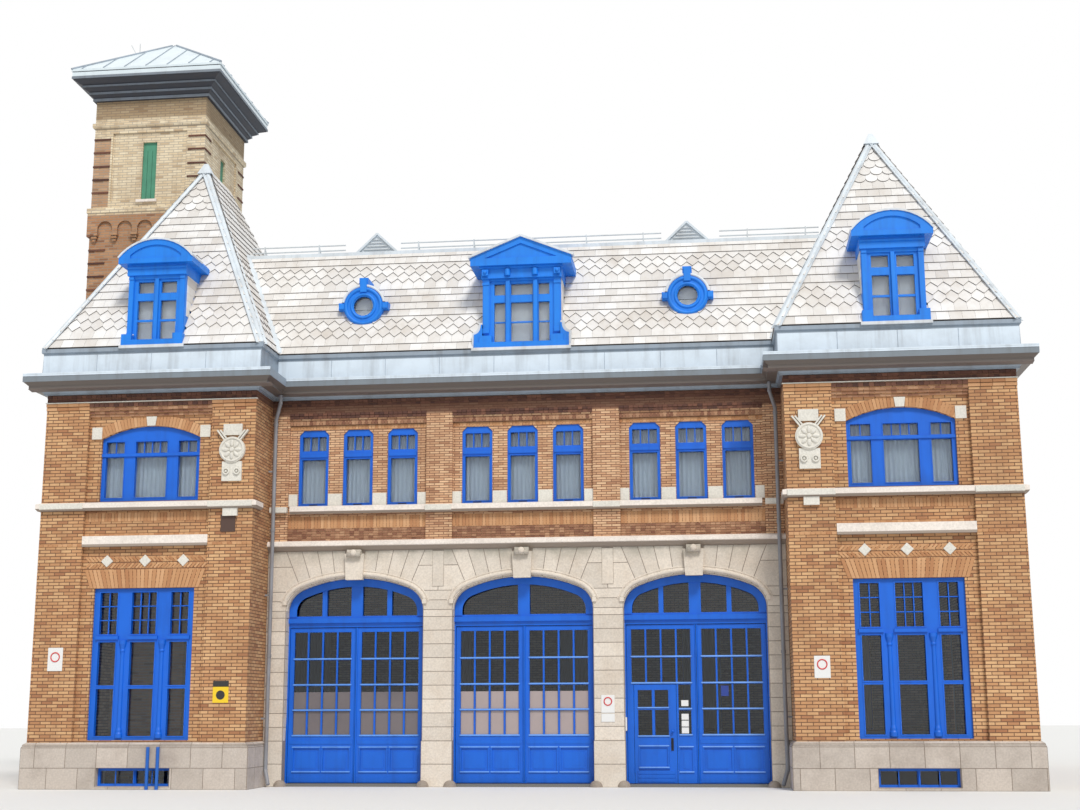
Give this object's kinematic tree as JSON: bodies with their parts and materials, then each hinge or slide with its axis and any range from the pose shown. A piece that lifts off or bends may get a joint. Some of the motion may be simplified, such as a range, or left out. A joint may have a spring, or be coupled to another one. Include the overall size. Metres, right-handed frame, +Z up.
{
  "type": "fire station building",
  "caption": "Two-storey brick fire station with arched engine bays behind glazed doors, corner pavilions, slate mansard roof and a hose tower.",
  "frame": {"origin": "on the ground, in the plane of the stone arcade, halfway along the front", "axes": "+X runs right along the front, +Y runs into the building, +Z is up"},
  "size_m": [23.8, 16.18, 19.99],
  "materials": {
    "concrete": "worn, matt",
    "floor_boards": "oiled boards, satin",
    "plinth_stone": "grey limestone, weathered, matt",
    "brick": "buff to orange facing brick with pale mortar, matt",
    "limestone": "dressed limestone with stained joints, matt",
    "carved_stone": "carved limestone, matt",
    "grey_metal": "painted sheet metal, satin",
    "slate": "pale grey slates with dark joints, matt",
    "roof_metal": "standing seam sheet, satin",
    "blue_wood": "bright blue gloss paint on wood",
    "rail_metal": "galvanised, satin",
    "tower_brick": "buff brick over red-orange brick, matt",
    "grey_wood": "grey paint on wood, satin",
    "green_wood": "green paint on wood, satin",
    "window_glass": "clear glass before pale curtains",
    "door_glass": "clear glass",
    "pipe_metal": "painted pipe, satin"
  },
  "bodies": {
    "building": {"ground_floor": "concrete", "pavilion_floors": "concrete", "upper_floor": "floor_boards", "attic_floor": "floor_boards", "pavilion_plinths": "plinth_stone", "rear_plinths": "plinth_stone", "left_pavilion_wall": "brick", "right_pavilion_wall": "brick", "return_walls": "brick", "left_side_wall": "brick", "right_side_wall": "brick", "rear_wall": "brick", "upper_front_wall": "brick", "arcade_piers": "limestone", "arcade_arches": "limestone", "arch_mouldings": "limestone", "string_course": "limestone", "sill_course": "limestone", "window_stones": "limestone", "medallions": "carved_stone", "pavilion_cornices": "grey_metal", "centre_cornice": "grey_metal", "rear_cornice": "grey_metal", "front_mansard": "slate", "rear_mansards": "slate", "roof_deck": "roof_metal", "left_pavilion_roof": "slate", "right_pavilion_roof": "slate", "centre_dormer": "blue_wood", "pavilion_dormers": "blue_wood", "dormer_windows": "blue_wood", "round_windows": "blue_wood", "roof_vents": "roof_metal", "snow_rails": "rail_metal", "tower_walls": "tower_brick", "tower_cornice": "grey_wood", "tower_roof": "roof_metal", "tower_shutter": "green_wood", "pavilion_windows": "blue_wood", "upper_front_windows": "blue_wood", "rear_windows": "blue_wood", "window_glass": "window_glass", "door_posts": "blue_wood", "fanlight_frames": "blue_wood", "pipes": "pipe_metal"},
    "bay1_left": {"bay1_left_leaf": "blue_wood", "bay1_left_glass": "door_glass"},
    "bay1_right": {"bay1_right_leaf": "blue_wood", "bay1_right_glass": "door_glass"},
    "bay2_left": {"bay2_left_leaf": "blue_wood", "bay2_left_glass": "door_glass"},
    "bay2_right": {"bay2_right_leaf": "blue_wood", "bay2_right_glass": "door_glass"},
    "bay3_left": {"bay3_left_leaf": "blue_wood", "bay3_left_glass": "door_glass"},
    "bay3_right": {"bay3_right_leaf": "blue_wood", "bay3_right_glass": "door_glass"},
    "wicket": {"wicket_door": "blue_wood", "wicket_glass": "door_glass"}
  },
  "joints": [
    {"name": "bay1_left_hinge", "type": "hinge", "parent": "building", "child": "bay1_left", "pos_m": [-5.492, 0.37, 0.1], "axis": [0, 0, 1], "range_deg": [0, 90]},
    {"name": "bay1_right_hinge", "type": "hinge", "parent": "building", "child": "bay1_right", "pos_m": [-2.348, 0.37, 0.1], "axis": [0, 0, -1], "range_deg": [0, 90]},
    {"name": "bay2_left_hinge", "type": "hinge", "parent": "building", "child": "bay2_left", "pos_m": [-1.572, 0.37, 0.1], "axis": [0, 0, 1], "range_deg": [0, 90]},
    {"name": "bay2_right_hinge", "type": "hinge", "parent": "building", "child": "bay2_right", "pos_m": [1.572, 0.37, 0.1], "axis": [0, 0, -1], "range_deg": [0, 90]},
    {"name": "bay3_left_hinge", "type": "hinge", "parent": "building", "child": "bay3_left", "pos_m": [2.348, 0.37, 0.1], "axis": [0, 0, 1], "range_deg": [0, 90]},
    {"name": "bay3_right_hinge", "type": "hinge", "parent": "building", "child": "bay3_right", "pos_m": [5.492, 0.37, 0.1], "axis": [0, 0, -1], "range_deg": [0, 90]},
    {"name": "wicket_hinge", "type": "hinge", "parent": "bay3_left", "child": "wicket", "pos_m": [2.501, 0.3, 0.1], "axis": [0, 0, -1], "range_deg": [0, 90]}
  ]
}
